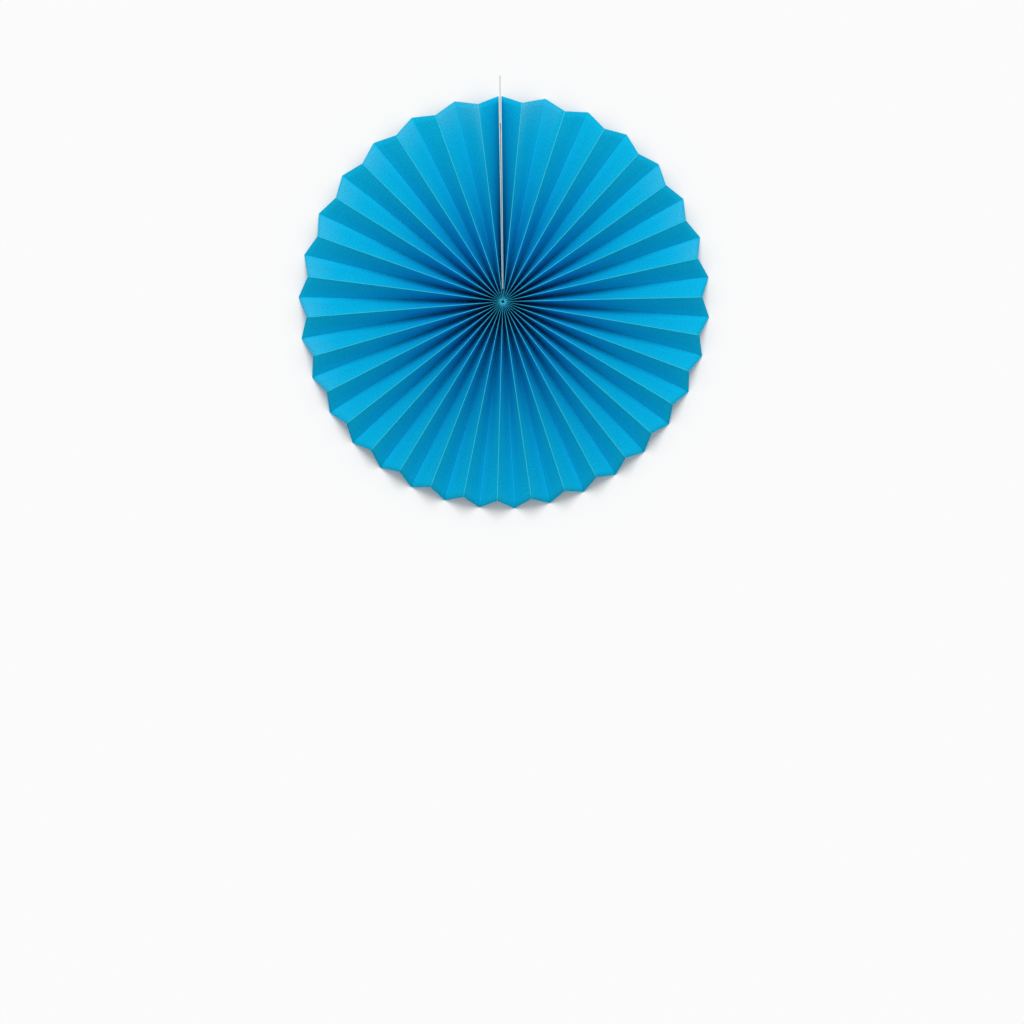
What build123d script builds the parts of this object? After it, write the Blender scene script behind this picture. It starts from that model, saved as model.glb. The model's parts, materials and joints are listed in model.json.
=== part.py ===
from build123d import *
import math
import os

# A pleated paper rosette lying on its back folds, in millimetres and degrees.
# The hub is on the Z axis, the front faces +Z, and the seam with its string runs towards +Y.
# Bearings are counted clockwise from the seam, as seen from the front.

# The paper strip
back_fold_length = 200.0  # from the hub to a tip of the rim
notch_depth = 7.6  # the front folds are this much shorter, because the rim is cut at a slant
panel_depth = 25.0  # from one fold of the strip to the next
paper_thickness = 0.12
least_rim_slope = 40.5  # the panels stand at least this steep at the rim, on average
hub_slack = 1.1  # room for each panel at the hub, in paper thicknesses

# How unevenly the pleats open: wide beside the seam, narrow across from it
crowding = 7.2
crowding_skew = 1.25
crowding_ripple = 0.5

# How far the rim is from a circle round the hub
rim_shift = 1.3  # how far its centre lies from the hub
rim_shift_bearing = 70.0
rim_oval = 1.0  # how much further out it is at the ends of its long axis, and less far out across it
rim_oval_bearing = 27.0

# The two card strips at the seam
card_thickness = 0.6
card_setback = 0.2  # from the end panels' front edges to the cards' front edges, at the rim
card_hub_setback = 3.0  # the same at the cards' inner ends
glue_line = 0.03  # between a card and its end panel
first_fold_room = 0.67  # between an end panel and the first front fold, where the cards begin

# The foam tape between the cards
tape_pinch = 0.16  # how thin it would be at the cards' inner ends, where they are pressed together
tape_width = 14.0
tape_setback = 4.0  # from the cards' front edges to the tape, at the rim
tape_hub_setback = 6.0  # the same at the cards' inner ends
tape_margin = 8.0  # from the cards' inner ends to the tape
tape_rim_margin = 1.5  # from the tape to the cards' ends at the rim

# The hanging string
string_diameter = 1.2
string_clearance = 0.05  # on each side of the string's inner end, between the cards
string_setback = 0.1  # from the cards' front edges to the string's inner end
string_grip = 28.0  # the length between the cards
string_tail = 18.8  # the length beyond the rim

# The binding thread
thread_diameter = 0.5
thread_clearance = 0.2  # round the thread, in the holes punched for it
knot_diameter = 0.9
knot_clearance = 0.1
thread_sides = 8  # flats that stand for the round section of the thread and of its holes
punch_depth = 0.36  # how far a punch reaches through a panel, short of the next one

# The flat facets that stand for the twist of the panels
hub_rings = 2  # from the hub to the thread
rim_rings = 7  # from the cards' inner ends to the rim

# The pleats
front_fold_length = back_fold_length - notch_depth
widest_reach = panel_depth * math.cos(math.radians(least_rim_slope))
pleat_count = math.ceil(math.pi * front_fold_length / widest_reach)
panel_count = 2 * pleat_count + 2
hub_radius = (panel_count + 1) * paper_thickness * hub_slack / (2 * math.pi)

# The strip's lines are its folds and its two ends. Line 0 is the free edge of the end panel to the right
# of the seam, and the last line is the free edge of the one to its left. Odd lines are back folds.
last_line = panel_count
seam_lines = (0, 1, last_line - 1, last_line)


def is_back(line):
    return line % 2 == 1


def polar(radius, bearing):
    angle = math.radians(bearing)
    return (radius * math.sin(angle), radius * math.cos(angle))


def hub_bearing(line):
    """Round the hub every panel takes the same room."""
    return 360 * (line + 0.5) / (panel_count + 1)


def rim_bearing(line):
    """At the rim the pleats open unevenly."""
    share = (line - 1) / (2 * pleat_count)
    turn = 2 * math.pi * share
    lean = crowding_skew * (math.cos(turn) - 1) + crowding_ripple * (math.cos(2 * turn) - 1)
    return 360 * share + crowding * math.sin(turn) + lean


def rim_radius(line):
    """The distance from the hub at which a line ends."""
    length = back_fold_length if is_back(line) else front_fold_length
    if line in seam_lines:
        return length
    shift = rim_shift * math.cos(math.radians(rim_bearing(line) - rim_shift_bearing))
    return length + shift + rim_oval * math.cos(math.radians(2 * (rim_bearing(line) - rim_oval_bearing)))


# The seam. The cards begin where the first front folds leave room for them, and their inner faces leave the
# middle plane at the same small slope, so that the string fits between them.
seam_half_width = tape_pinch / 2 + card_thickness + glue_line
card_start = (seam_half_width + first_fold_room) / math.tan(math.radians(rim_bearing(2)))
card_end = back_fold_length
string_start = card_end - string_grip
string_end = card_end + string_tail
string_room = string_diameter + 2 * string_clearance
card_slope = (string_room - tape_pinch) / 2 / (string_start - card_start)

# The thread runs round the hub where the end panels leave room between them for its knot.
hub_edge = polar(hub_radius, hub_bearing(0))[0]
knot_room = knot_diameter / 2 + knot_clearance
thread_share = (knot_room - hub_edge) / (seam_half_width - hub_edge)
thread_ring_radius = hub_radius + thread_share * (card_start - hub_radius)


def card_face(y):
    """How far a card's inner face is from the middle plane, at this distance from the hub."""
    return tape_pinch / 2 + card_slope * (y - card_start)


def inward_share(y):
    """0 at the rim, and 1 at the cards' inner ends."""
    return (card_end - y) / (card_end - card_start)


def card_front(y):
    """The height of the cards' front edges, which sink deeper between the pleats towards the hub."""
    return panel_depth - card_setback - inward_share(y) * (card_hub_setback - card_setback)


def seam_path(y, hub_x):
    """How far an end panel's inner side is from the middle plane. It lies along its card, and runs straight
    to its place at the hub from there."""
    if y >= card_start:
        return card_face(y) + card_thickness + glue_line
    share = (y - hub_radius) / (card_start - hub_radius)
    return hub_x + share * (seam_half_width - hub_x)


def plan_point(line, radius):
    """The place of a line in plan, at this distance from the hub."""
    hub_x, hub_y = polar(hub_radius, hub_bearing(line))
    if line in seam_lines:
        side = 1 if line <= 1 else -1
        return (side * seam_path(radius, abs(hub_x)), radius)
    rim_x, rim_y = polar(rim_radius(line), rim_bearing(line))
    share = (radius - hub_radius) / (rim_radius(line) - hub_radius)
    return (hub_x + share * (rim_x - hub_x), hub_y + share * (rim_y - hub_y))


def plan_bearing(line, radius):
    x, y = plan_point(line, radius)
    return math.degrees(math.atan2(x, y)) % 360


def fold_height(line, radius):
    """Back folds lie flat. A front fold stays one panel depth away from the back folds beside it."""
    if is_back(line):
        return 0.0
    if line in seam_lines:
        return panel_depth
    spread = plan_bearing(line + 1, radius) - plan_bearing(line - 1, radius)
    reach = radius * math.sin(math.radians(spread / 2))
    return math.sqrt(panel_depth**2 - reach**2)


def panel_section(line, radius):
    """The slope, as reach over rise, and the level thickness of the panel between a line and the next."""
    here = plan_point(line, radius)
    there = plan_point(line + 1, radius)
    rise = abs(fold_height(line, radius) - fold_height(line + 1, radius))
    reach = math.dist(here, there)
    level_thickness = paper_thickness * math.hypot(reach, rise) / rise
    if line in seam_lines and line + 1 in seam_lines:
        return (reach / rise, level_thickness)
    return ((reach + level_thickness) / rise, level_thickness)


def ring_radii(line):
    """The distances from the hub between which the facets of a line run. One of them is the thread's, so
    that the middle of every panel is where the hole for the thread is."""
    growth = (thread_ring_radius / hub_radius) ** (1 / hub_rings)
    stride = (back_fold_length - card_start) / rim_rings
    near_hub = [hub_radius * growth**ring for ring in range(hub_rings)]
    beside_cards = [card_start + stride * ring for ring in range(rim_rings)]
    return near_hub + [thread_ring_radius] + beside_cards + [rim_radius(line)]


def paper_sides(line, radius):
    """The front and back of the paper at a line. In a crease, the inner side lies where the two panels'
    inner sides meet."""
    x, y = plan_point(line, radius)
    z = fold_height(line, radius)
    edge = Vector(x, y, z)
    section_radius = min(radius, front_fold_length)
    if line == 0:
        return (edge + Vector(panel_section(0, section_radius)[1], 0, 0), edge)
    if line == last_line:
        return (edge - Vector(panel_section(line - 1, section_radius)[1], 0, 0), edge)
    slope_before, thickness_before = panel_section(line - 1, section_radius)
    slope_after, thickness_after = panel_section(line, section_radius)
    depth = (thickness_before + thickness_after) / (slope_before + slope_after)
    sideways = Vector(*polar(1, plan_bearing(line, radius) + 90))
    aside = sideways * (thickness_before - slope_before * depth)
    if is_back(line):
        return (edge + aside + Vector(0, 0, depth), edge)
    return (edge, edge + aside - Vector(0, 0, depth))


def facets(*corners):
    """Two flat facets across four corners, split from the first corner to the third."""
    first, second, third, fourth = corners
    return [
        Face(Wire.make_polygon([first, second, third])),
        Face(Wire.make_polygon([first, third, fourth])),
    ]


def make_folded_strip():
    """Lines of points on both sides of the paper, joined by facets. Facets that lie back to back are split
    the same way, so the paper keeps its thickness."""
    sides = [
        [paper_sides(line, radius) for radius in ring_radii(line)] for line in range(panel_count + 1)
    ]
    front = [[point[0] for point in line] for line in sides]
    back = [[point[1] for point in line] for line in sides]
    skin = []
    for near in range(len(sides[0]) - 1):
        far = near + 1
        for here in range(panel_count):
            there = here + 1
            if is_back(here):
                skin += facets(front[here][near], front[here][far], front[there][far], front[there][near])
                skin += facets(back[here][near], back[there][near], back[there][far], back[here][far])
            else:
                skin += facets(front[here][far], front[there][far], front[there][near], front[here][near])
                skin += facets(back[here][far], back[here][near], back[there][near], back[there][far])
        skin += facets(back[0][near], back[0][far], front[0][far], front[0][near])
        skin += facets(front[-1][near], front[-1][far], back[-1][far], back[-1][near])
    for here in range(panel_count):
        there = here + 1
        skin += facets(back[here][0], front[here][0], front[there][0], back[there][0])
        skin += facets(front[here][-1], back[here][-1], back[there][-1], front[there][-1])
    return Solid(Shell(skin))


def thread_section(diameter):
    return RegularPolygon(diameter / 2, thread_sides, rotation=180 / thread_sides)


def make_punch(line):
    """The hole for the thread through the middle of the panel between a line and the next."""
    near = Vector(*plan_point(line, thread_ring_radius), panel_depth / 2)
    far = Vector(*plan_point(line + 1, thread_ring_radius), panel_depth / 2)
    along_thread = Plane(origin=(near + far) / 2, x_dir=(0, 0, 1), z_dir=far - near)
    hole = thread_section(thread_diameter + 2 * thread_clearance)
    return along_thread * extrude(hole, amount=punch_depth / 2, both=True)


def make_pleated_paper():
    """The folded strip, with a hole through every panel for the thread."""
    return make_folded_strip() - [make_punch(line) for line in range(panel_count)]


def make_binding_thread():
    """The thread pulled tight round the hub, with its knot between the end panels."""
    section = Pos(thread_ring_radius, 0, panel_depth / 2) * Rot(90, 0, 0) * thread_section(thread_diameter)
    knot = Pos(0, thread_ring_radius, panel_depth / 2) * Rot(0, 90, 0) * Sphere(knot_diameter / 2)
    return revolve(section, Axis.Z) + knot


def make_bar(start, end, section):
    """A bar along the seam, straight from its section at one distance from the hub to that at another. The
    section gives the left, right, low and high sides."""
    outlines = []
    for y in (start, end):
        left, right, low, high = section(y)
        corners = [(left, y, low), (right, y, low), (right, y, high), (left, y, high)]
        outlines.append(make_face(Polyline(corners, close=True)))
    return loft(outlines, ruled=True)


def make_card_strip(side):
    """A strip of card standing on its edge. Side is 1 to the right of the seam and -1 to its left."""

    def section(y):
        return (side * card_face(y), side * (card_face(y) + card_thickness), 0, card_front(y))

    return make_bar(card_start, card_end, section)


def make_joining_tape():
    """A strip of foam tape, laid along the cards at a slant and squeezed more where they are closer."""

    def section(y):
        high = card_front(y) - tape_setback - inward_share(y) * (tape_hub_setback - tape_setback)
        return (-card_face(y), card_face(y), high - tape_width, high)

    return make_bar(card_start + tape_margin, card_end - tape_rim_margin, section)


def make_hanging_string():
    """A straight string, between the cards' front edges and on past the rim."""
    height = card_front(string_start) - string_setback - string_diameter / 2
    middle = Pos(0, (string_start + string_end) / 2, height)
    return middle * Rot(90, 0, 0) * Cylinder(string_diameter / 2, string_end - string_start)


pieces = {
    "pleated_paper": make_pleated_paper(),
    "card_strip_right": make_card_strip(1),
    "card_strip_left": make_card_strip(-1),
    "joining_tape": make_joining_tape(),
    "binding_thread": make_binding_thread(),
    "hanging_string": make_hanging_string(),
}
os.makedirs("parts", exist_ok=True)
for name, piece in pieces.items():
    export_step(piece, f"parts/{name}.step")
print("pleats", pleat_count, "hub radius", round(hub_radius, 2), "cards from", round(card_start, 2))
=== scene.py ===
# %% [markdown]
# A paper fan rosette is one long strip of dyed paper. It is creased every 25 mm, gathered into a circle,
# and closed at a seam where two strips of white card are taped face to face. This lesson dresses the exact
# model of it, piece by piece. The exact model is loaded first, and everything made here is in its frame and
# in metres: the hub is on the Z axis, the front faces +Z, and the seam runs towards +Y.

# %% Load the exact model
import json
import math

import bmesh
import bpy
from mathutils import Matrix, Vector, noise

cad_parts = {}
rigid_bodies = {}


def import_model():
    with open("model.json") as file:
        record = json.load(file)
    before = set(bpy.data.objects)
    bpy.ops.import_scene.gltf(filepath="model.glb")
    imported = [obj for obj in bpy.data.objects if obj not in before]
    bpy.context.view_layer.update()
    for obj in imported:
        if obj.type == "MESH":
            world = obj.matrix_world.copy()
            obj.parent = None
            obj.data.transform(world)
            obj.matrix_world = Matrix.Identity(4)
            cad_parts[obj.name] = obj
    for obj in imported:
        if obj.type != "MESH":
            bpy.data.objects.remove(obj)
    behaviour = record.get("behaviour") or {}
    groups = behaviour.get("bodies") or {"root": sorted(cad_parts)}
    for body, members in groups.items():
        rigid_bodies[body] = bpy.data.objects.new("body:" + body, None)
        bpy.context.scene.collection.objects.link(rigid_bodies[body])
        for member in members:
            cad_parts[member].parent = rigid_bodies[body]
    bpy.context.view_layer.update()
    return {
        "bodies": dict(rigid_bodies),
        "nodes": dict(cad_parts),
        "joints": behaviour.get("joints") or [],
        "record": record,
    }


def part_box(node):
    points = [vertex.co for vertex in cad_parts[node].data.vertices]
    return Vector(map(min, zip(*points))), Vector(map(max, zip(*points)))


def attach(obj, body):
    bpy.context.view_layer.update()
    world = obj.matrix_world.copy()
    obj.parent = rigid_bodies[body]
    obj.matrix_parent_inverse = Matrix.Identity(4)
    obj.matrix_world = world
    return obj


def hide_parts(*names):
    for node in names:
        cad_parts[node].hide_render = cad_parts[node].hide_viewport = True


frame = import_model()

mm = 0.001

# %% [markdown]
# The rosette is photographed flat on, from far enough away that nothing looks nearer than the rest. So the
# camera looks straight down through a very long lens. Its picture is as wide as the photograph is at the
# rosette, and the rosette keeps its place in it: a little above the middle, and rolled by nearly a degree.

# %% Place the camera
picture_width = 992.8 * mm
picture_pixels = 1024
hub_pixel = (502.9, 302.3)
roll = math.radians(0.80)
camera_height = 8.0

pixel = picture_width / picture_pixels
hub_to_middle = Vector((picture_pixels / 2 - hub_pixel[0], hub_pixel[1] - picture_pixels / 2, 0)) * pixel
camera_data = bpy.data.cameras.new("camera")
camera_data.sensor_width = 36
camera_data.lens = camera_data.sensor_width * camera_height / picture_width
camera_data.clip_end = 3 * camera_height
camera = bpy.data.objects.new("camera", camera_data)
camera.location = Matrix.Rotation(-roll, 3, "Z") @ hub_to_middle + Vector((0, 0, camera_height))
camera.rotation_euler = (0, 0, -roll)
bpy.context.scene.collection.objects.link(camera)
bpy.context.scene.camera = camera
print("lens", round(camera_data.lens), "mm, camera at", camera.location)

# %% [markdown]
# The hanging string's route is settled early, because its length is a fact and not a look. It is held
# between the front edges of the two cards, comes out at the rim, and runs straight on to its bare end. A
# NURBS curve guided by a few points is its route, and the twisted strands are laid along it further down.

# %% Lay out the string's route
string_low, string_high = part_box("hanging_string")
string_diameter = string_high.z - string_low.z
string_height = (string_low.z + string_high.z) / 2
string_exit = Vector((0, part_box("card_strip_right")[1].y, string_height))
string_route = [
    Vector((0, string_low.y, string_height)),
    Vector((0, 186.0 * mm, string_height)),
    Vector((0, 199.5 * mm, string_height)),
    Vector((0.2 * mm, 209.2 * mm, string_height)),
    Vector((0.1 * mm, string_high.y, string_height)),
]
route_samples = 16


def read_route(points, samples):
    """Points along a smooth curve. The order is set after the points, because before them it is lost."""
    data = bpy.data.curves.new("route", "CURVE")
    data.dimensions = "3D"
    data.resolution_u = samples
    spline = data.splines.new("NURBS")
    spline.points.add(len(points) - 1)
    for control, point in zip(spline.points, points):
        control.co = (*point, 1)
    spline.order_u = 3
    spline.use_endpoint_u = True
    holder = bpy.data.objects.new("route", data)
    line = bpy.data.meshes.new_from_object(holder)
    places = [vertex.co.copy() for vertex in line.vertices]
    bpy.data.objects.remove(holder)
    return places


string_line = read_route(string_route, route_samples)
string_length = sum((after - before).length for before, after in zip(string_line, string_line[1:]))
print("string", round(string_length / mm, 1), "mm along", len(string_line), "points")

# %% [markdown]
# Every finish below is worked out by nodes, and node trees get long. Writing them as sums keeps them short.
# The class here wraps one output of a node. Adding, subtracting, multiplying or dividing puts the Math node
# in, and one method makes any other node: its settings go in first, then the values or links of its inputs.

# %% A short way to write nodes
class Wire:
    """One output of a shader node."""

    def __init__(self, tree, socket=None):
        self.tree = tree
        self.socket = socket

    def node(self, kind, settings=None, inputs=None, output=0):
        """A new node, with its settings made before its inputs."""
        made = self.tree.nodes.new("ShaderNode" + kind)
        for name, value in (settings or {}).items():
            setattr(made, name, value)
        for name, value in (inputs or {}).items():
            if isinstance(value, Wire):
                self.tree.links.new(value.socket, made.inputs[name])
            else:
                made.inputs[name].default_value = value
        return Wire(self.tree, made.outputs[output] if made.outputs else None)

    def math(self, operation, *values):
        """A Math node. All its values are given, this one too."""
        return self.node("Math", {"operation": operation}, dict(enumerate(values)))

    def __add__(self, other):
        return self.math("ADD", self, other)

    def __sub__(self, other):
        return self.math("SUBTRACT", self, other)

    def __rsub__(self, other):
        return self.math("SUBTRACT", other, self)

    def __mul__(self, other):
        return self.math("MULTIPLY", self, other)

    def __truediv__(self, other):
        return self.math("DIVIDE", self, other)

    __radd__ = __add__
    __rmul__ = __mul__

    def mix(self, colour, other):
        """From a colour to another, as this mask goes from 0 to 1."""
        return self.node("Mix", {"data_type": "RGBA"}, {0: self, 6: colour, 7: other}, output=2)

    def between(self, low, high):
        """0 where this is below low, 1 where it is above high, and smooth from one to the other."""
        settings = {"interpolation_type": "SMOOTHSTEP"}
        return self.node("MapRange", settings, {"Value": self, "From Min": low, "From Max": high})

    def within(self, rise, fall):
        """1 from the end of the rise to the start of the fall, and smoothly down to 0 outside them."""
        return self.between(*rise) * (1 - self.between(*fall))

    def part(self, axis):
        """One coordinate of this place, by its letter."""
        return self.node("SeparateXYZ", {}, {"Vector": self}, output=axis)

    def scaled(self, scale, turn=0.0):
        """This place, turned about Z and then scaled, for streaks."""
        return self.node("Mapping", {}, {"Vector": self, "Rotation": (0, 0, turn), "Scale": scale})

    def noise(self, scale=1.0, detail=2.0):
        """A cloudy value from 0 to 1 at this place."""
        return self.node("TexNoise", {}, {"Vector": self, "Scale": scale, "Detail": detail})

    def relief(self, depth):
        """The normal of a surface that is this much higher, times a depth in metres."""
        return self.node("Bump", {}, {"Height": self, "Distance": depth, "Strength": 1.0})


def new_finish(name):
    """An empty material, and a wire to begin its nodes with."""
    material = bpy.data.materials.new(name)
    material.use_nodes = True
    material.node_tree.nodes.clear()
    return material, Wire(material.node_tree)


def lay_on(tree, **inputs):
    """Ends a finish: the inputs go to a Principled shader, and that goes to the surface."""
    named = {name.replace("_", " "): value for name, value in inputs.items()}
    surface = tree.node("BsdfPrincipled", {}, named)
    tree.node("OutputMaterial", {}, {"Surface": surface})


def new_piece(name, bm, node, record_slot, *materials):
    """Makes a mesh a piece of the rosette, in the place of one node of the exact model."""
    mesh = bpy.data.meshes.new(name)
    bm.to_mesh(mesh)
    bm.free()
    return place_piece(name, mesh, node, record_slot, *materials)


def place_piece(name, mesh, node, record_slot, *materials):
    """The same for a mesh that is already made."""
    piece = bpy.data.objects.new(name, mesh)
    bpy.context.scene.collection.objects.link(piece)
    for material in materials:
        mesh.materials.append(material)
    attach(piece, "root")
    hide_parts(node)
    print(name, "has", len(mesh.polygons), "faces")
    return piece


# %% [markdown]
# The photograph has one broad soft light, from above the picture, and a white ground. A Sun lamp with a
# wide angle is such a light, the same all over the picture. The floor is nearly white and keeps the soft
# shadow under the lower rim. It glows a little, for the camera and for mirrors alone, so that it comes out
# white without more light on the paper, and the sky does the same.

# %% Floor, sky and lamp
floor_size = 6.0
floor_gap = 0.05 * mm
floor_white = 0.97
floor_glow = 0.01
sky_level = 0.65
key_from = Vector((0, 0.59, 0.81)).normalized()
key_spread = math.radians(36)
key_level = 0.47


def seen_directly(tree):
    """1 for rays that show a background: straight from the camera, off a gloss or through glass."""
    rays = tree.node("LightPath")
    kinds = ("Is Camera Ray", "Is Glossy Ray", "Is Transmission Ray")
    first, second, third = (Wire(tree.tree, rays.socket.node.outputs[kind]) for kind in kinds)
    return first.math("MAXIMUM", first.math("MAXIMUM", first, second), third)


floor_material, tree = new_finish("white table")
paint = tree.node("BsdfDiffuse", {}, {"Color": (floor_white, floor_white, floor_white, 1)})
glow = tree.node("Emission", {}, {"Strength": seen_directly(tree) * floor_glow})
painted = tree.node("AddShader", {}, {0: paint, 1: glow})
tree.node("OutputMaterial", {}, {"Surface": painted})

bm = bmesh.new()
under_paper = Matrix.Translation((0, 0, -floor_gap))
bmesh.ops.create_grid(bm, x_segments=1, y_segments=1, size=floor_size, matrix=under_paper)
floor_mesh = bpy.data.meshes.new("floor")
bm.to_mesh(floor_mesh)
bm.free()
floor_mesh.materials.append(floor_material)
floor = bpy.data.objects.new("floor", floor_mesh)
bpy.context.scene.collection.objects.link(floor)

world = bpy.data.worlds.new("white room")
world.use_nodes = True
world.node_tree.nodes.clear()
sky = Wire(world.node_tree)
shown = seen_directly(sky)
room = sky.node("Background", {}, {"Strength": shown + (1 - shown) * sky_level})
sky.node("OutputWorld", {}, {"Surface": room})
bpy.context.scene.world = world

key_data = bpy.data.lights.new("soft key", "SUN")
key_data.angle = key_spread
key_data.energy = math.pi * key_level / key_from.z
key = bpy.data.objects.new("soft key", key_data)
key.rotation_euler = key_from.to_track_quat("Z", "Y").to_euler()
bpy.context.scene.collection.objects.link(key)

settings = bpy.context.scene.view_settings
settings.view_transform = "Standard"
lamp_rise = math.degrees(math.asin(key_from.z))
print("lamp", round(lamp_rise), "degrees up, of", round(key_data.energy, 2), "W per square metre")

# %% [markdown]
# The real strip is creased while it is flat, and so is this one. The sizes below say how long the folds
# are, where the panels stand round the hub and how unevenly they open at the rim. The seam's two end panels
# lie along the cards, and the cards' place is read from the exact model. Folds, called lines here, and
# panels are counted clockwise from the seam and from 0, and odd lines are back folds. Bearings are in
# degrees, clockwise from the seam too, and so are the three values that crowd the folds on one side.

# %% The strip's sizes
panel_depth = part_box("pleated_paper")[1].z
back_fold_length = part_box("pleated_paper")[1].y
notch_depth = 7.6 * mm
front_fold_length = back_fold_length - notch_depth
paper_thickness = 0.12 * mm
pleat_count = 32
panel_count = 2 * pleat_count + 2
hub_slack = 1.1
hub_radius = (panel_count + 1) * paper_thickness * hub_slack / (2 * math.pi)
crowding = 7.2
crowding_skew = 1.25
crowding_ripple = 0.5
rim_shift = 1.3 * mm
rim_shift_bearing = 70
rim_oval = 1.0 * mm
rim_oval_bearing = 27
card_thickness = 0.6 * mm
card_hub_setback = 3.0 * mm
glue_line = 0.03 * mm
seam_lines = (0, 1, panel_count - 1, panel_count)

card_low, card_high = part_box("card_strip_right")
card_slope = (card_high.x - card_thickness - card_low.x) / (card_high.y - card_low.y)
print("hub radius", round(hub_radius / mm, 2), "mm, cards splay by", round(card_slope, 4))

# %% [markdown]
# Two rules then say where any point of the strip goes. A fold's place is the first: in plan it runs
# straight from the hub to the rim, a back fold lies on the table, and a front fold stays one panel depth
# away from the back folds beside it, so it sinks as the pleats open. A point between two folds is the
# second.

# %% Where the folds go
def polar(radius, bearing):
    """A place in plan, at a radius from the hub's middle and at a bearing."""
    angle = math.radians(bearing)
    return Vector((radius * math.sin(angle), radius * math.cos(angle)))


def rim_bearing(line):
    """Where a fold reaches the rim. The pleats stand a little closer on one side."""
    share = (line - 1) / (2 * pleat_count)
    turn = 2 * math.pi * share
    lean = crowding_skew * (math.cos(turn) - 1) + crowding_ripple * (math.cos(2 * turn) - 1)
    return 360 * share + crowding * math.sin(turn) + lean


def rim_radius(line):
    """How far from the hub's middle a fold ends. The rim is a little off centre and a little oval."""
    length = back_fold_length if line % 2 else front_fold_length
    if line in seam_lines:
        return length
    shift = rim_shift * math.cos(math.radians(rim_bearing(line) - rim_shift_bearing))
    return length + shift + rim_oval * math.cos(math.radians(2 * (rim_bearing(line) - rim_oval_bearing)))


def card_face(y):
    """Half the gap between the two cards, which splay towards the rim."""
    return card_low.x + card_slope * (y - card_low.y)


def inward_share(y):
    """0 at the rim, and 1 at the cards' inner ends."""
    return (card_high.y - y) / (card_high.y - card_low.y)


def card_front(y):
    """The cards' front edges sink deeper between the pleats towards the hub."""
    return card_high.z - inward_share(y) * (card_hub_setback - panel_depth + card_high.z)


def seam_path(y, hub_x):
    """The end panels lie along the cards, and run straight to the hub from the cards' inner ends."""
    if y >= card_low.y:
        return card_face(y) + card_thickness + glue_line
    share = (y - hub_radius) / (card_low.y - hub_radius)
    return hub_x + share * (card_face(card_low.y) + card_thickness + glue_line - hub_x)


def plan_point(line, radius):
    """Where a fold is in plan."""
    hub_point = polar(hub_radius, 360 * (line + 0.5) / (panel_count + 1))
    if line in seam_lines:
        side = 1 if line <= 1 else -1
        return Vector((side * seam_path(radius, abs(hub_point.x)), radius))
    rim_point = polar(rim_radius(line), rim_bearing(line))
    return hub_point.lerp(rim_point, (radius - hub_radius) / (rim_radius(line) - hub_radius))


def plan_bearing(line, radius):
    """A fold's bearing in plan, which changes along it, as it doesn't start in the hub's middle."""
    x, y = plan_point(line, radius)
    return math.degrees(math.atan2(x, y)) % 360


def fold_place(line, radius):
    """A fold's place in the middle of the paper's thickness."""
    plan = plan_point(line, radius)
    if line % 2:
        return plan.to_3d() + Vector((0, 0, paper_thickness / 2))
    height = panel_depth
    if line not in seam_lines:
        spread = plan_bearing(line + 1, radius) - plan_bearing(line - 1, radius)
        height = math.sqrt(panel_depth**2 - (radius * math.sin(math.radians(spread / 2))) ** 2)
    return plan.to_3d() + Vector((0, 0, height - paper_thickness / 2))


far_fold_height = fold_place(pleat_count, front_fold_length).z
print("a front fold is", round(far_fold_height / mm, 1), "mm high at the rim")

# %% [markdown]
# Folded paper isn't a plain zigzag. A crease is a narrow bend whose sides swell a little before they lie
# straight, and that is why a fold looks like a thin cord of light from the front. A panel between two
# creases also bows by a fraction of a millimetre, here a smooth noise that fades out at the creases and at
# the hub.

# %% How the paper swells and bows
fold_swell = 0.12 * mm
swell_reach = 0.25 * mm
neighbour_share = 0.4
bow = 0.3 * mm
bow_length = 60 * mm
bow_start = 45 * mm
bow_variety = 7.3


def swell(line, radius, distance):
    """How far the paper stands off its straight panel at a distance from a fold. Tight folds swell less."""
    here = plan_point(line, radius)
    beside = [other for other in (line - 2, line + 2) if 0 <= other <= panel_count]
    gap = min((plan_point(other, radius) - here).length for other in beside)
    size = max(0, min(fold_swell, neighbour_share * gap - paper_thickness / 2))
    away = distance / swell_reach
    return size * away * math.exp(1 - away)


def panel_bow(line, share, radius):
    """How far a panel bows between its two folds."""
    fade = math.sin(math.pi * share) * min(1, radius / bow_start) ** 2
    return bow * fade * noise.noise(Vector((radius / bow_length, share, bow_variety * line)))


def folded(across, along):
    """Where a point of the flat strip goes when the strip is pleated and opened."""
    line = min(int(across / panel_depth), panel_count - 1)
    share = across / panel_depth - line
    radius = hub_radius + along
    near = fold_place(line, radius)
    far = fold_place(line + 1, radius)
    place = near.lerp(far, share)
    if line in (0, panel_count - 1):
        return place
    outward = Vector((place.x, place.y, 0))
    normal = (far - near).cross(outward).normalized()
    clockwise = Vector((place.y, -place.x, 0))
    if normal.dot(clockwise) < 0:
        normal.negate()
    from_near = swell(line, radius, share * panel_depth)
    from_far = swell(line + 1, radius, (1 - share) * panel_depth)
    return place + normal * (from_near - from_far + panel_bow(line, share, radius))


print("a fold is", round((2 * fold_swell + paper_thickness) / mm, 2), "mm across where it has room to swell")

# %% [markdown]
# One panel is cut first, as a flat grid with close columns along both creases. The hole for the thread is
# punched in it while it is flat: a face goes, a circle comes, and a bridge joins the two. Then the panel is
# copied along the strip, the seams between copies are merged, and the rim is cut at a slant. Only then does
# every vertex go to its folded place. A Solidify modifier gives the sheet its thickness at the end.

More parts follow.
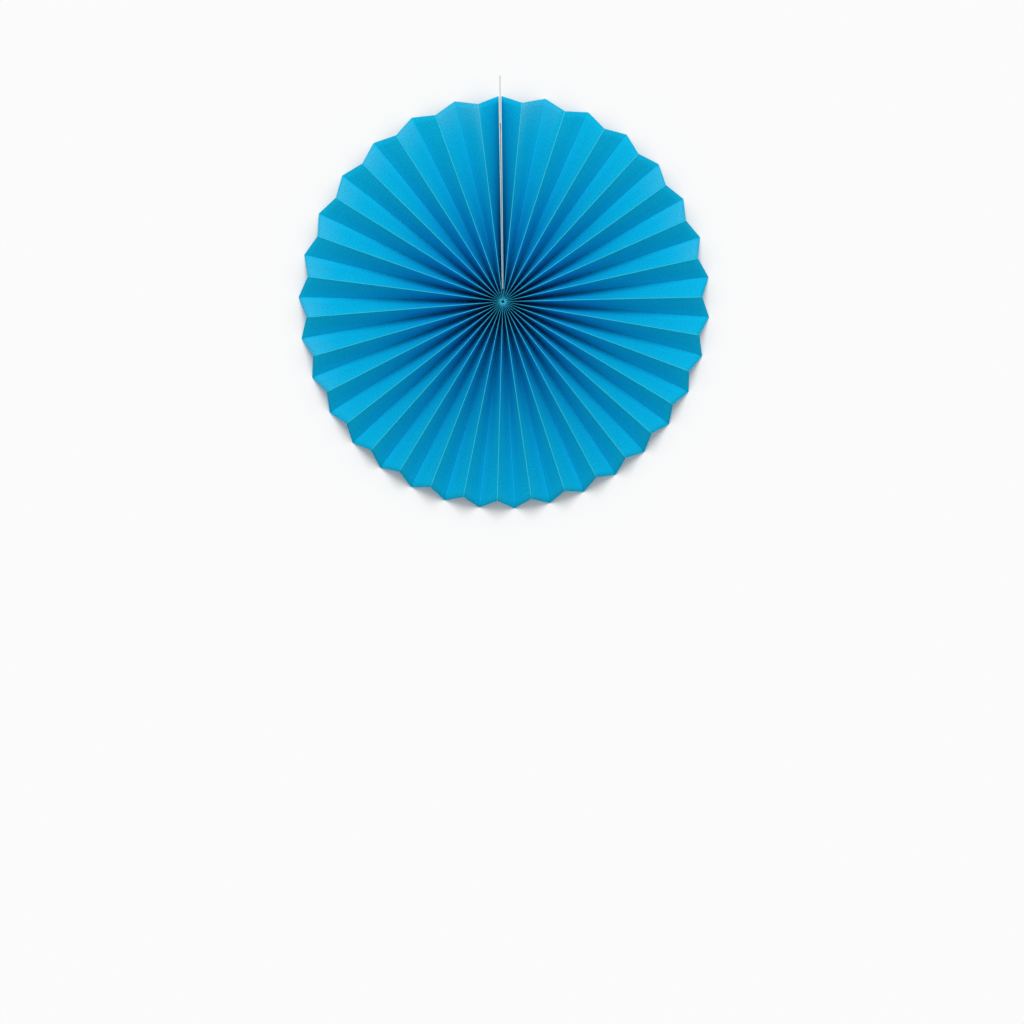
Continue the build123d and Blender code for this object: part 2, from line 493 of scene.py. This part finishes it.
# %% Cut and punch one flat panel
thread_diameter = 0.5 * mm
hole_diameter = 0.9 * mm
hole_cell = 1.0 * mm
hole_sides = 8
thread_flats = 8
thread_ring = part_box("binding_thread")[1].x - thread_diameter / 2 * math.cos(math.pi / thread_flats)
crease_columns = [0, 0.12 * mm, 0.32 * mm, 0.75 * mm, 1.8 * mm, 5 * mm, 8.3 * mm]
half_columns = crease_columns + [panel_depth / 2 - hole_cell]
columns = half_columns + [panel_depth - column for column in reversed(half_columns)]

hub_rows = 4
rim_rows = 36
row_growth = 1.3
merge_distance = 0.001 * mm
near_hole = thread_ring - hole_cell - hub_radius
past_hole = thread_ring + hole_cell - hub_radius
strip_width = back_fold_length - hub_radius
hub_growth = (near_hole + hub_radius) / hub_radius
rim_steps = [(row / rim_rows) ** row_growth for row in range(rim_rows + 1)]
rows = [hub_radius * hub_growth ** (row / hub_rows) - hub_radius for row in range(hub_rows)]
rows += [near_hole]
rows += [past_hole + (strip_width - past_hole) * step for step in rim_steps]


def flat_panel():
    """The grid starts one unit wide, and each vertex goes to its own column and row."""
    bm = bmesh.new()
    bmesh.ops.create_grid(bm, x_segments=len(columns) - 1, y_segments=len(rows) - 1, size=0.5)
    for vertex in bm.verts:
        column = round((vertex.co.x + 0.5) * (len(columns) - 1))
        row = round((vertex.co.y + 0.5) * (len(rows) - 1))
        vertex.co = (columns[column], rows[row], 0)
    middle = Vector((panel_depth / 2, (near_hole + past_hole) / 2, 0))
    face = min(bm.faces, key=lambda face: (face.calc_center_median() - middle).length)
    around = list(face.edges)
    bmesh.ops.delete(bm, geom=[face], context="FACES_ONLY")
    place = Matrix.Translation(middle)
    hole = bmesh.ops.create_circle(bm, segments=hole_sides, radius=hole_diameter / 2, matrix=place)
    around += {edge for vertex in hole["verts"] for edge in vertex.link_edges}
    bmesh.ops.bridge_loops(bm, edges=around)
    return bm


def whole_strip():
    """All panels side by side, in one flat sheet."""
    bm = flat_panel()
    panel = bm.verts[:] + bm.edges[:] + bm.faces[:]
    for copy in range(1, panel_count):
        made = bmesh.ops.duplicate(bm, geom=panel)
        moved = [item for item in made["geom"] if isinstance(item, bmesh.types.BMVert)]
        bmesh.ops.translate(bm, verts=moved, vec=(copy * panel_depth, 0, 0))
    bmesh.ops.remove_doubles(bm, verts=bm.verts, dist=merge_distance)
    bmesh.ops.recalc_face_normals(bm, faces=bm.faces)
    return bm


strip = whole_strip()
print("flat strip", round(panel_count * panel_depth, 3), "m long, with", len(strip.verts), "vertices")

# %% [markdown]
# The rim is slanted by drawing each row in, by less and less towards the hub. After that the flat sheet's
# own coordinates are kept as its UV map before it is folded. The paper's grain, and the wear and painted
# highlights along its creases, are drawn on the flat sheet later on, so they follow every fold without a
# seam.

# %% Slant the rim, keep the flat map, and fold
slant_power = 4


def cut_length(across):
    """The flat strip's width at a place along it: long at the back folds, short at the front folds."""
    line = min(int(across / panel_depth), panel_count - 1)
    share = across / panel_depth - line
    return rim_radius(line) * (1 - share) + rim_radius(line + 1) * share - hub_radius


for vertex in strip.verts:
    over = strip_width - cut_length(vertex.co.x)
    vertex.co.y -= over * (vertex.co.y / strip_width) ** slant_power

flat_map = strip.loops.layers.uv.new("flat sheet")
for face in strip.faces:
    face.smooth = True
    for loop in face.loops:
        loop[flat_map].uv = loop.vert.co.xy
for vertex in strip.verts:
    vertex.co = folded(vertex.co.x, vertex.co.y)
print("folded")

# %% [markdown]
# The dyed paper is matt and a little fibrous. Its colour is paler along the front creases, partly where it
# has been rubbed and the white core of the sheet shows through and partly as a painted highlight on the
# rounded fold, and much less along the back creases. A soft band beside each back crease is painted lighter,
# as painted light against the shade in the valleys, and a pale haze here and there near the rim is a painted
# sheen. Towards the hub the paper is painted darker, as painted shade in the deep, narrow pleats. All of
# this reads the flat map, which is in metres, so a noise of scale 600 is a pattern of about 1.7 mm. A
# stretch is a pair of distances from the inner cut edge. The panels that have the haze are given by two
# pairs: over the first it sets in, and over the second it ends. The first and second panel are the two past
# the first front fold, on either side of the seam. The values from 0 to 1 say how strong a layer is, or how
# much of it a loss takes away.

# %% The blue paper
dye_bright = (0.0004, 0.385, 0.665, 1)
dye_deep = (0.0003, 0.365, 0.65, 1)
# The inner and hub colours are painted shade: the paper is painted darker towards the hub, where the pleats
# stand deep and narrow.
inner_painted_shade = (0.0003, 0.32, 0.69, 1)
hub_painted_shade = (0.0004, 0.26, 0.55, 1)
inner_stretch = 5 * mm, 60 * mm
outer_stretch = 40 * mm, 140 * mm
fibre_pale = (0.0015, 0.50, 0.77, 1)
inner_fibres = 0.2
# A soft band beside each back crease is painted lighter, as painted light against the shade in the valleys,
# less near the rim.
valley_painted_light = (0.0005, 0.47, 0.745, 1)
crease_core = 1 * mm
crease_reach = 11 * mm
crease_stretch = 10 * mm, 45 * mm
crease_rim_loss = 0.3

# The front creases are paler partly from wear and partly as a painted highlight on the rounded fold.
rim_wear_and_highlight = (0.075, 0.64, 0.72, 1)
inner_wear_and_highlight = (0.07, 0.86, 0.97, 1)
hub_wear_and_highlight = (0.07, 0.72, 0.97, 1)
pale_line_width = 0.22 * mm
pale_line_core = pale_line_width * 0.35
steady_wear_and_highlight = 0.6
back_wear = 0.25
gathered_stretch = (1 * mm, 4 * mm), (8 * mm, 25 * mm)
gathered_loss = 0.55

# The haze is a painted sheen: a pale colour near the rim, on panels that face the light.
painted_sheen_colour = (0.085, 0.49, 0.74, 1)
haze_stretch = 150 * mm, 200 * mm
first_panel = (1.9, 2.1), (2.9, 3.1)
first_haze = 0.75
second_panel = (2.9, 3.1), (3.6, 4.0)
second_haze = 0.55
right_panels = (8.0, 9.0), (13.8, 14.2)
right_haze = 0.7
left_panels = (43.0, 50.0), (63.8, 64.2)
fold_haze = 0.6
fold_haze_stretch = 125 * mm, 190 * mm
fold_haze_width = 9 * mm


def painted_rim_sheen(across, along, from_front, grain):
    """Where a painted sheen lies near the rim: on both sides of the seam, most along the first front
    folds, and on the upper sides of some pleats, which face the light."""
    panel = across / panel_depth
    left = panel.between((panel_count - 1) / 2, (panel_count + 1) / 2)
    upper = panel.math("SINE", panel * math.pi) * (left * 2 - 1)
    from_seam = panel.math("PINGPONG", panel, panel_count / 2)
    first = from_seam.within(*first_panel)
    beside_seam = first * first_haze + from_seam.within(*second_panel) * second_haze
    pleats = panel.within(*right_panels) * right_haze + panel.within(*left_panels)
    on_pleats = pleats * upper.between(0.02, 0.3)
    near_rim = along.between(*haze_stretch)
    broad = panel.math("MAXIMUM", beside_seam, on_pleats) * near_rim * near_rim
    by_front = 1 - from_front * (0.5 / panel_depth)
    at_fold = first * (1 - from_front.between(0, fold_haze_width)) * along.between(*fold_haze_stretch)
    return (broad * by_front + at_fold * fold_haze) * grain.between(0.2, 0.75)


def crease_wear_and_highlight(flat, along, from_front, from_back):
    """How pale a crease is: on the front ones it is wear, in patches, and a painted highlight on the
    rounded fold, less where they are gathered at the hub, and on the back ones faint, even wear."""
    patchy = flat.noise(scale=1200, detail=2).between(0.3, 0.55)
    gathered = along.within(*gathered_stretch)
    at_front = 1 - from_front.between(pale_line_core, pale_line_width)
    at_back = 1 - from_back.between(pale_line_core, pale_line_width)
    front_wear_and_highlight = at_front * (steady_wear_and_highlight + patchy * (1 - steady_wear_and_highlight)) * (1 - gathered * gathered_loss)
    return flat.math("MAXIMUM", front_wear_and_highlight, at_back * back_wear)


def paper_grain(flat):
    """Mottled pulp with fine fibres in it, some across the others."""
    mottle = flat.noise(scale=600, detail=3)
    fibres = flat.scaled((7000, 900, 1), turn=0.6).noise(detail=1)
    crossed = flat.scaled((900, 7000, 1), turn=0.25).noise(detail=1)
    return mottle * 0.5 + fibres * 0.25 + crossed * 0.25


def outwards(along, hub, inner, outer):
    """A colour that changes from the hub to the rim."""
    return along.between(*outer_stretch).mix(along.between(*inner_stretch).mix(hub, inner), outer)


def blue_paper():
    """Layers of colour, from the dye with its painted shade up to the creases' wear and painted highlight.
    """
    material, tree = new_finish("blue paper")
    flat = tree.node("UVMap", {"uv_map": "flat sheet"})
    across = flat.part("X")
    along = flat.part("Y")
    from_front = tree.math("PINGPONG", across, panel_depth)
    from_back = panel_depth - from_front
    grain = paper_grain(flat)
    clouds = flat.noise(scale=45, detail=3)
    # Painted light in the band beside each back crease.
    beside_back = 1 - from_back.between(crease_core, crease_reach)
    rim_loss = along.between(*haze_stretch) * crease_rim_loss
    valley_light_mask = beside_back * along.between(*crease_stretch) * (1 - rim_loss)
    outer_fibres = along.between(*outer_stretch) * (1 - inner_fibres)
    fibrous = grain.between(0.40, 0.62) * (inner_fibres + outer_fibres)
    # Painted sheen near the rim.
    sheen_mask = painted_rim_sheen(across, along, from_front, grain)
    wear_and_highlight_mask = crease_wear_and_highlight(flat, along, from_front, from_back)

    # Painted shade towards the hub, with a tone that varies at random further out.
    colour = outwards(along, hub_painted_shade, inner_painted_shade, clouds.between(0.3, 0.7).mix(dye_deep, dye_bright))
    # Painted light beside the back creases.
    colour = valley_light_mask.mix(colour, valley_painted_light)
    colour = fibrous.mix(colour, fibre_pale)
    # Painted sheen near the rim.
    colour = sheen_mask.mix(colour, painted_sheen_colour)
    # Crease wear, with a painted highlight on the front folds.
    colour = wear_and_highlight_mask.mix(colour, outwards(along, hub_wear_and_highlight, inner_wear_and_highlight, rim_wear_and_highlight))
    lay_on(
        tree,
        Base_Color=colour,
        Roughness=0.62 + grain * 0.16,
        Normal=grain.relief(0.06 * mm),
        Specular_IOR_Level=0.06,
    )
    return material


# %% The cut edge
cut_dyed = (0.03, 0.40, 0.66, 1)
cut_open = (0.22, 0.60, 0.76, 1)


def cut_edge():
    """Where the sheet was cut, its fibres are open and only half dyed."""
    material, tree = new_finish("cut edge")
    place = tree.node("TexCoord", output="Object")
    fibres = place.noise(scale=5000, detail=2)
    lay_on(
        tree,
        Base_Color=fibres.between(0.35, 0.65).mix(cut_dyed, cut_open),
        Roughness=0.75 + fibres * 0.15,
        Normal=fibres.relief(0.03 * mm),
        Specular_IOR_Level=0.25,
    )
    return material


# %% Thicken the sheet and place it
def thicken(bm):
    """Gives the folded sheet its thickness. The cut faces get the second material and stay flat."""
    mesh = bpy.data.meshes.new("sheet")
    bm.to_mesh(mesh)
    bm.free()
    holder = bpy.data.objects.new("sheet", mesh)
    bpy.context.scene.collection.objects.link(holder)
    solidify = holder.modifiers.new("thickness", "SOLIDIFY")
    solidify.thickness = paper_thickness
    solidify.offset = 0
    solidify.material_offset_rim = 1
    mesh.materials.append(None)
    mesh.materials.append(None)
    bpy.context.view_layer.update()
    graph = bpy.context.evaluated_depsgraph_get()
    solid = bpy.data.meshes.new_from_object(holder.evaluated_get(graph))
    bpy.data.objects.remove(holder)
    for polygon in solid.polygons:
        polygon.use_smooth = polygon.material_index == 0
    solid.materials.clear()
    return solid


paper_mesh = thicken(strip)
place_piece("folded_paper", paper_mesh, "pleated_paper", "blue_paper", blue_paper(), cut_edge())

# %% [markdown]
# The cards are strips of white pulp board, 0.6 mm thick. What shows of them is their cut edge: a soft
# white, with the layers of the board as fine lines along it. Each starts as a cube, scaled to the strip and
# leaned over by the splay of the seam. Its front edge is lowered towards the hub, and all its edges are
# bevelled by a hair.

# %% The white card
board_white = (0.96, 0.965, 0.965, 1)
board_warm = (0.92, 0.92, 0.91, 1)
board_bevel = 0.04 * mm
board_layer = 0.16 * mm


def white_card():
    """Pulp board, in layers that are thin across the card and long along it."""
    material, tree = new_finish("white card")
    place = tree.node("TexCoord", output="Object")
    layers = place.scaled((1 / board_layer, 12, 12)).noise(detail=2)
    specks = place.noise(scale=1800, detail=3)
    clouds = place.noise(scale=60, detail=2)
    tone = layers * 0.5 + specks * 0.3 + clouds * 0.2
    lay_on(
        tree,
        Base_Color=tone.between(0.38, 0.56).mix(board_warm, board_white),
        Roughness=0.7 + specks * 0.2,
        Normal=(layers * 0.7 + specks * 0.3).relief(0.03 * mm),
        Specular_IOR_Level=0.3,
    )
    return material


def card_strip(hand, side, material):
    """The side is 1 to the right of the seam, and -1 to its left."""
    middle = Vector((0, (card_low.y + card_high.y) / 2, (card_low.z + card_high.z) / 2))
    size = Vector((card_thickness, card_high.y - card_low.y, card_high.z - card_low.z, 1))
    bm = bmesh.new()
    bmesh.ops.create_cube(bm, size=1, matrix=Matrix.Translation(middle) @ Matrix.Diagonal(size))
    for vertex in bm.verts:
        vertex.co.x = side * (card_face(vertex.co.y) + card_thickness / 2) + vertex.co.x
        vertex.co.z = min(vertex.co.z, card_front(vertex.co.y))
    bmesh.ops.bevel(
        bm,
        geom=bm.edges[:],
        offset=board_bevel,
        offset_type="OFFSET",
        segments=2,
        profile=0.5,
        affect="EDGES",
        material=-1,
        clamp_overlap=True,
    )
    new_piece("board_" + hand, bm, "card_strip_" + hand, "white_card", material)


card = white_card()
card_strip("right", 1, card)
card_strip("left", -1, card)

# %% [markdown]
# Double-sided foam tape joins the two cards. Squeezed between them it is a thin wedge, and its free faces
# bulge a little. The bulge is an inset face that is moved outwards. The foam is full of tiny open cells,
# which a Voronoi pattern draws as pits, with painted shade in them.

# %% The foam tape
tape_low, tape_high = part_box("joining_tape")
tape_width = 14.0 * mm
tape_bulge = 0.15 * mm
bulge_edge = 0.05 * mm
# The darker foam colour is painted shade in the pits of the cells.
foam_pit_shade = (0.42, 0.42, 0.40, 1)
foam_pale = (0.60, 0.60, 0.58, 1)


def foam():
    """Foam with painted shade in its cells, which are pits, and paler between them."""
    material, tree = new_finish("foam tape")
    place = tree.node("TexCoord", output="Object")
    cells = tree.node("TexVoronoi", {}, {"Vector": place, "Scale": 2600.0}, output="Distance")
    shade = place.noise(scale=300, detail=2)
    tone = cells * 0.6 + shade * 0.4
    lay_on(
        tree,
        Base_Color=tone.between(0.1, 0.6).mix(foam_pit_shade, foam_pale),
        Roughness=0.6 + shade * 0.25,
        Normal=cells.relief(0.12 * mm),
        Specular_IOR_Level=0.3,
    )
    return material


def tape_wedge():
    """The tape is laid at a slant, a little deeper between the cards at the hub than at the rim."""
    slant = (tape_high.z - tape_low.z - tape_width) / (tape_high.y - tape_low.y)
    middle = Vector((0, (tape_low.y + tape_high.y) / 2, (tape_low.z + tape_high.z) / 2))
    size = Vector((1, tape_high.y - tape_low.y, tape_width - 2 * tape_bulge, 1))
    bm = bmesh.new()
    bmesh.ops.create_cube(bm, size=1, matrix=Matrix.Translation(middle) @ Matrix.Diagonal(size))
    for vertex in bm.verts:
        vertex.co.x *= 2 * card_face(vertex.co.y)
        vertex.co.z += slant * (vertex.co.y - middle.y)
    free_faces = [face for face in bm.faces if abs(face.normal.z) > 0.9]
    bmesh.ops.inset_individual(bm, faces=free_faces, thickness=bulge_edge, depth=tape_bulge)
    bmesh.ops.recalc_face_normals(bm, faces=bm.faces)
    return bm


tape = new_piece("foam_wedge", tape_wedge(), "joining_tape", "foam_tape", foam())

# %% [markdown]
# String and thread are twisted from strands, and they are made as a rope walk does. A section of a few
# circles is set at the start of a line. It is extruded from point to point, and turned a little further
# each time.

# %% A rope walk
strand_sides = 8
join_distance = 0.01 * mm


def frames_along(line, closed):
    """A place and a direction at each point of a line, with the same way up all along."""
    frames = []
    for index, point in enumerate(line):
        before = line[index - 1] if index else (line[-2] if closed else point)
        after = line[index + 1] if index + 1 < len(line) else (line[1] if closed else point)
        ahead = (after - before).normalized()
        aside = ahead.cross(Vector((0, 0, 1))).normalized()
        above = aside.cross(ahead)
        frames.append(Matrix.Translation(point) @ Matrix((aside, above, -ahead)).transposed().to_4x4())
    return frames


def twist_strands(line, diameter, strand_count, turns, closed=False):
    """Strands that touch each other and fill a diameter, twisted along a line."""
    spread = 1 / (1 + 1 / math.sin(math.pi / strand_count))
    strand_radius = diameter / 2 * spread
    offset = diameter / 2 - strand_radius
    bm = bmesh.new()
    for strand in range(strand_count):
        turn = Matrix.Rotation(2 * math.pi * strand / strand_count, 4, "Z")
        place = turn @ Matrix.Translation((offset, 0, 0))
        bmesh.ops.create_circle(bm, segments=strand_sides, radius=strand_radius, matrix=place)
    edges = bm.edges[:]
    frames = frames_along(line, closed)
    step = 2 * math.pi * turns / (len(line) - 1)
    stations = [frame @ Matrix.Rotation(step * index, 4, "Z") for index, frame in enumerate(frames)]
    bmesh.ops.transform(bm, matrix=stations[0], verts=bm.verts)
    for before, after in zip(stations, stations[1:]):
        made = bmesh.ops.extrude_edge_only(bm, edges=edges)["geom"]
        verts = [item for item in made if isinstance(item, bmesh.types.BMVert)]
        edges = [item for item in made if isinstance(item, bmesh.types.BMEdge)]
        edges = [edge for edge in edges if edge.verts[0] in verts and edge.verts[1] in verts]
        bmesh.ops.transform(bm, matrix=after @ before.inverted(), verts=verts)
    if closed:
        bmesh.ops.remove_doubles(bm, verts=bm.verts, dist=join_distance)
    else:
        bmesh.ops.holes_fill(bm, edges=[edge for edge in bm.edges if edge.is_boundary], sides=0)
    bmesh.ops.recalc_face_normals(bm, faces=bm.faces)
    for face in bm.faces:
        face.smooth = len(face.verts) == 4
    return bm


# %% Cotton
def cotton(name, tones, free_end_tones=None, free_end_from=0):
    """Bleached cotton: fuzzy, with short fibres that lie along the strands. Its tones are a darker and a
    paler colour, and a string may take greyer tones past some place along the seam:
    its paler tones within the seam are painted light against the shade between the cards."""
    material, tree = new_finish(name)
    place = tree.node("TexCoord", output="Object")
    fuzz = place.noise(scale=6000, detail=3)
    lint = place.scaled((9000, 1800, 9000)).noise(detail=2)
    tone = fuzz * 0.5 + lint * 0.5
    pale = tone.between(0.35, 0.62)
    colour = pale.mix(*tones)
    if free_end_tones:
        # Painted light within the seam, and greyer tones past it towards the free end.
        past_seam = place.part("Y").between(free_end_from, free_end_from + 3 * mm)
        colour = past_seam.mix(colour, pale.mix(*free_end_tones))
    lay_on(
        tree,
        Base_Color=colour,
        Roughness=0.8 + fuzz * 0.15,
        Normal=tone.relief(0.025 * mm),
        Specular_IOR_Level=0.2,
        Sheen_Weight=0.3,
        Sheen_Roughness=0.5,
    )
    return material


# %% The hanging string
string_strands = 3
string_lay = 4.0 * mm
string_turns = string_length / string_lay
# Within the seam the string is painted paler, as painted light against the shade between the cards; nearer
# the free end it is greyer.
seam_lit_tones = (0.88, 0.88, 0.875, 1), (0.96, 0.96, 0.955, 1)
free_end_tones = (0.63, 0.62, 0.61, 1), (0.80, 0.79, 0.785, 1)
free_end_from = string_exit.y - 3 * mm
string_cotton = cotton("string cotton", seam_lit_tones, free_end_tones, free_end_from)
string_mesh = twist_strands(string_line, string_diameter, string_strands, string_turns)
string = new_piece("twisted_string", string_mesh, "hanging_string", "string", string_cotton)

# %% [markdown]
# The binding thread runs through the punched holes and gathers the hub. It is two-ply, so its section is
# two circles, and a whole number of half turns lets its end meet its start. Its twist is a little thinner
# than the exact thread, to stay inside that one's eight flats. Its knot is a small trefoil.

# %% The binding thread
thread_height = panel_depth / 2
thread_steps = 192
thread_half_turns = 26
twisted_diameter = 0.9 * thread_diameter
knot_size = 0.27 * mm
knot_steps = 60
knot_turns = 4
thread_tones = (0.55, 0.55, 0.53, 1), (0.78, 0.78, 0.76, 1)


def ring_line():
    """A circle through the middles of all the holes, halfway up the panels."""
    angles = [2 * math.pi * step / thread_steps for step in range(thread_steps + 1)]
    return [Vector((thread_ring * math.sin(a), thread_ring * math.cos(a), thread_height)) for a in angles]


def knot_line():
    """A trefoil on the ring, turned to face along the seam."""
    points = []
    for step in range(knot_steps + 1):
        turn = 2 * math.pi * step / knot_steps
        reach = (2 + math.cos(3 * turn)) / 3 * knot_size
        side = reach * math.cos(2 * turn)
        depth = knot_size / 3 * math.sin(3 * turn)
        height = reach * math.sin(2 * turn)
        points.append(Vector((side, depth, height)) + Vector((0, thread_ring, thread_height)))
    return points


thread_mesh = twist_strands(ring_line(), twisted_diameter, 2, thread_half_turns / 2, closed=True)
knot_mesh = bpy.data.meshes.new("knot")
knot = twist_strands(knot_line(), knot_size, 2, knot_turns, closed=True)
knot.to_mesh(knot_mesh)
knot.free()
thread_mesh.from_mesh(knot_mesh)
bpy.data.meshes.remove(knot_mesh)
new_piece("tied_thread", thread_mesh, "binding_thread", "thread", cotton("thread cotton", thread_tones))
